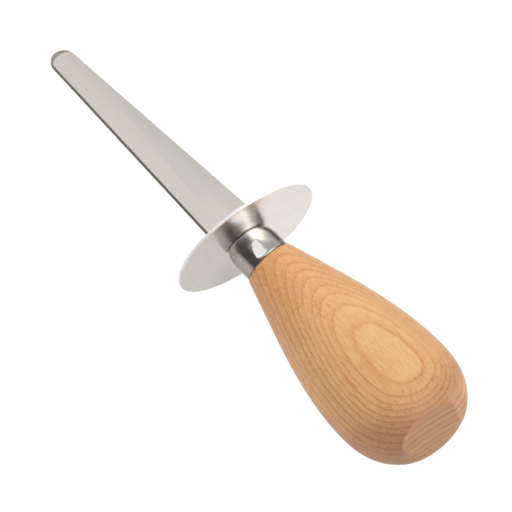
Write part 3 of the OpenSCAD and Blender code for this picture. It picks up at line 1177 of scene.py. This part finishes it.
class KNIFE_OT_bedding(bpy.types.Operator):
    """Give the hardened bedding round the tang its finish"""

    bl_idname = "knife.bedding"
    bl_label = "Tang bedding"

    def execute(self, context):
        material, sketch, shader = new_material("hardened_resin")
        place = knife_millimetres(sketch)
        bubbles = sketch.noise(place, 1.4, detail=3)
        tone = sketch.mix_colour(sketch.ramp(bubbles, 0.35, 0.7), (0.55, 0.42, 0.26), (0.42, 0.3, 0.17))
        sketch.feed(shader.inputs["Base Color"], tone)
        sketch.feed(shader.inputs["Roughness"], 0.45 + 0.2 * bubbles)
        sketch.feed(shader.inputs["Normal"], sketch.bump(bubbles, 0.1 * MM, 0.4))
        node = frame["nodes"]["tang_bedding"]
        node.data.materials.clear()
        node.data.materials.append(material)
        return {"FINISHED"}


# Stage


def ray_kinds(sketch):
    """1 for rays straight from the camera, and 1 for rays that come off metal."""
    path = sketch.add("ShaderNodeLightPath").outputs
    mirror = Term(sketch, path["Is Glossy Ray"]) + Term(sketch, path["Is Transmission Ray"])
    return Term(sketch, path["Is Camera Ray"]), sketch.math("MINIMUM", mirror, 1.0)


def floor_material():
    """Pale floor: white paper with a soft shadow to the camera, and darker far off in mirrors."""
    material = bpy.data.materials.new("pale_floor")
    material.use_nodes = True
    material.node_tree.nodes.clear()
    sketch = Sketch(material.node_tree)
    x, y, _ = sketch.split(sketch.add("ShaderNodeTexCoord").outputs["Object"])
    camera, mirror = ray_kinds(sketch)
    far = sketch.ramp(y, -0.075, -0.045, 0.85, 0.0) + sketch.ramp(y, 0.05, 0.18, 0.0, 0.6)
    dim = mirror * far * sketch.ramp(x, -0.02, 0.05, 1.0, 0.4)
    colour = sketch.mix_colour(dim, (0.8, 0.795, 0.79), (0, 0, 0))
    paper = sketch.add("ShaderNodeBsdfDiffuse", {"Color": colour})
    light = sketch.add("ShaderNodeEmission", {"Color": (1, 1, 1, 1), "Strength": 1.08 * (1 - dim)})
    own_light = sketch.math("MINIMUM", camera * 0.9 + mirror * 0.35, 1.0)
    mix = sketch.add("ShaderNodeMixShader", {0: own_light, 1: paper.outputs[0], 2: light.outputs[0]})
    sketch.add("ShaderNodeOutputMaterial", {"Surface": mix.outputs[0]})
    return material


def add_floor(size):
    """A flat square in the XY plane, facing up."""
    mesh = bpy.data.meshes.new("floor")
    half = size / 2
    corners = [(-half, -half, 0), (half, -half, 0), (half, half, 0), (-half, half, 0)]
    mesh.from_pydata(corners, [], [(0, 1, 2, 3)])
    mesh.materials.append(floor_material())
    sheet = bpy.data.objects.new("floor", mesh)
    bpy.context.collection.objects.link(sheet)


# Name, place, width, height and brightness of each lamp
LAMPS = (
    ("scrim", (0.16, -0.25, 0.85), 1.5, 1.5, 0.25),
    ("key", (0.24, -0.52, 0.78), 0.6, 0.6, 4.5),
    ("left_fill", (0.3, 0.75, 0.4), 0.5, 0.4, 3.8),
    ("rear_fill", (-0.8, -0.3, 0.45), 0.5, 0.5, 0.7),
)
WATTS_PER_AREA = 4


def soft_box(name, place, width, height, brightness):
    """An area lamp aimed at the knife, and hidden from the camera and from mirrors."""
    data = bpy.data.lights.new(name, "AREA")
    data.shape = "RECTANGLE"
    data.size = width
    data.size_y = height
    data.energy = brightness * width * height * WATTS_PER_AREA
    lamp = bpy.data.objects.new(name, data)
    turn = (-Vector(place)).to_track_quat("-Z", "Y").to_matrix()
    lamp.matrix_world = Matrix.Translation(place) @ turn.to_4x4()
    lamp.visible_camera = False
    lamp.visible_glossy = False
    bpy.context.collection.objects.link(lamp)


def add_camera(stage):
    """The photo's camera: its place and aim are known in the knife's frame."""
    place = knife_frame()
    data = bpy.data.cameras.new("camera")
    data.sensor_width = 36
    data.lens = data.sensor_width * stage.focal_pixels / PHOTO_SIZE
    data.clip_start = 0.01
    camera = bpy.data.objects.new("camera", data)
    start = place @ Vector(stage.look_from)
    view = (place @ Vector(stage.look_at)) - start
    turn = view.to_track_quat("-Z", "Y").to_matrix() @ Matrix.Rotation(stage.roll, 3, "Z")
    camera.matrix_world = Matrix.Translation(start) @ turn.to_4x4()
    bpy.context.collection.objects.link(camera)
    bpy.context.scene.camera = camera


def mirrored_sky(sketch):
    """Brightness that metal sees in each direction, painted from the tones on the real knife's metal."""
    x, y, z = sketch.split(sketch.add("ShaderNodeTexCoord").outputs["Generated"])
    from_low = 0.85 * sketch.ramp(z, -0.08, 0.25) - 0.1 * sketch.ramp(z, 0.3, 0.85)
    right = sketch.ramp(y, 0.0, 0.5, 1.0, 0.0) * from_low * sketch.ramp(x, 0.35, 0.7, 1.0, 0.5)
    above = sketch.ramp(z, 0.6, 0.95) * (1 - right)
    behind = sketch.ramp(x, -0.74, -0.66, 1.0, 0.0) * sketch.ramp(y, 0.2, 0.5) * sketch.ramp(z, 0.02, 0.12)
    across = sketch.ramp(y - 0.15 * z, -0.2, 0.22, 1.0, 0.0) * sketch.ramp(y - 0.2 * z, -0.92, -0.5)
    box = 2.3 * sketch.ramp(x, -0.2, 0.0, 1.0, 0.0) + 0.6 * sketch.ramp(x, -0.62, -0.42, 1.0, 0.0)
    box = box * across * sketch.ramp(z, -0.1, 0.2) * sketch.ramp(z, 0.9, 0.97, 1.0, 0.12)
    return 0.12 + 0.78 * right + 0.55 * above + 0.5 * behind + box


def add_world(stage):
    """Even fill light. The camera sees it white, and metal sees the mirrored sky."""
    world = bpy.data.worlds.new("studio")
    world.use_nodes = True
    world.node_tree.nodes.clear()
    sketch = Sketch(world.node_tree)
    camera, mirror = ray_kinds(sketch)
    strength = camera + mirror * mirrored_sky(sketch) + (1 - camera - mirror) * stage.fill
    light = sketch.add("ShaderNodeBackground", {"Color": (1, 1, 1, 1), "Strength": strength})
    sketch.add("ShaderNodeOutputWorld", {"Surface": light.outputs[0]})
    bpy.context.scene.world = world


class KNIFE_OT_stage(bpy.types.Operator):
    """Add the floor, the lamps, the world and the camera"""

    bl_idname = "knife.stage"
    bl_label = "Stage"

    def execute(self, context):
        stage = context.scene.knife_stage
        add_floor(stage.floor_size)
        for lamp in LAMPS:
            soft_box(*lamp)
        add_world(stage)
        add_camera(stage)
        context.scene.view_settings.view_transform = "Standard"
        return {"FINISHED"}


# Add-on


class KNIFE_PT_panel(bpy.types.Panel):
    """The knife's pieces and stage in the sidebar"""

    bl_idname = "KNIFE_PT_panel"
    bl_label = "Oyster Knife"
    bl_space_type = "VIEW_3D"
    bl_region_type = "UI"
    bl_category = "Oyster Knife"

    def draw(self, context):
        for operator, settings in STEPS:
            box = self.layout.box()
            box.operator(operator.bl_idname)
            if settings:
                group = getattr(context.scene, settings)
                for name in group.__annotations__:
                    box.prop(group, name)


SETTINGS = {
    "knife_blade": BladeSettings,
    "knife_guard": GuardSettings,
    "knife_ferrule": FerruleSettings,
    "knife_handle": HandleSettings,
    "knife_stage": StageSettings,
}
STEPS = (
    (KNIFE_OT_blade, "knife_blade"),
    (KNIFE_OT_guard, "knife_guard"),
    (KNIFE_OT_ferrule, "knife_ferrule"),
    (KNIFE_OT_handle, "knife_handle"),
    (KNIFE_OT_bedding, None),
    (KNIFE_OT_stage, "knife_stage"),
)


def register():
    for name, group in SETTINGS.items():
        bpy.utils.register_class(group)
        setattr(bpy.types.Scene, name, bpy.props.PointerProperty(type=group))
    for operator, _ in STEPS:
        bpy.utils.register_class(operator)
    bpy.utils.register_class(KNIFE_PT_panel)


def unregister():
    bpy.utils.unregister_class(KNIFE_PT_panel)
    for operator, _ in reversed(STEPS):
        bpy.utils.unregister_class(operator)
    for name, group in reversed(SETTINGS.items()):
        delattr(bpy.types.Scene, name)
        bpy.utils.unregister_class(group)


def main():
    register()
    for operator, _ in STEPS:
        group, name = operator.bl_idname.split(".")
        getattr(getattr(bpy.ops, group), name)()


if __name__ == "__main__":
    main()
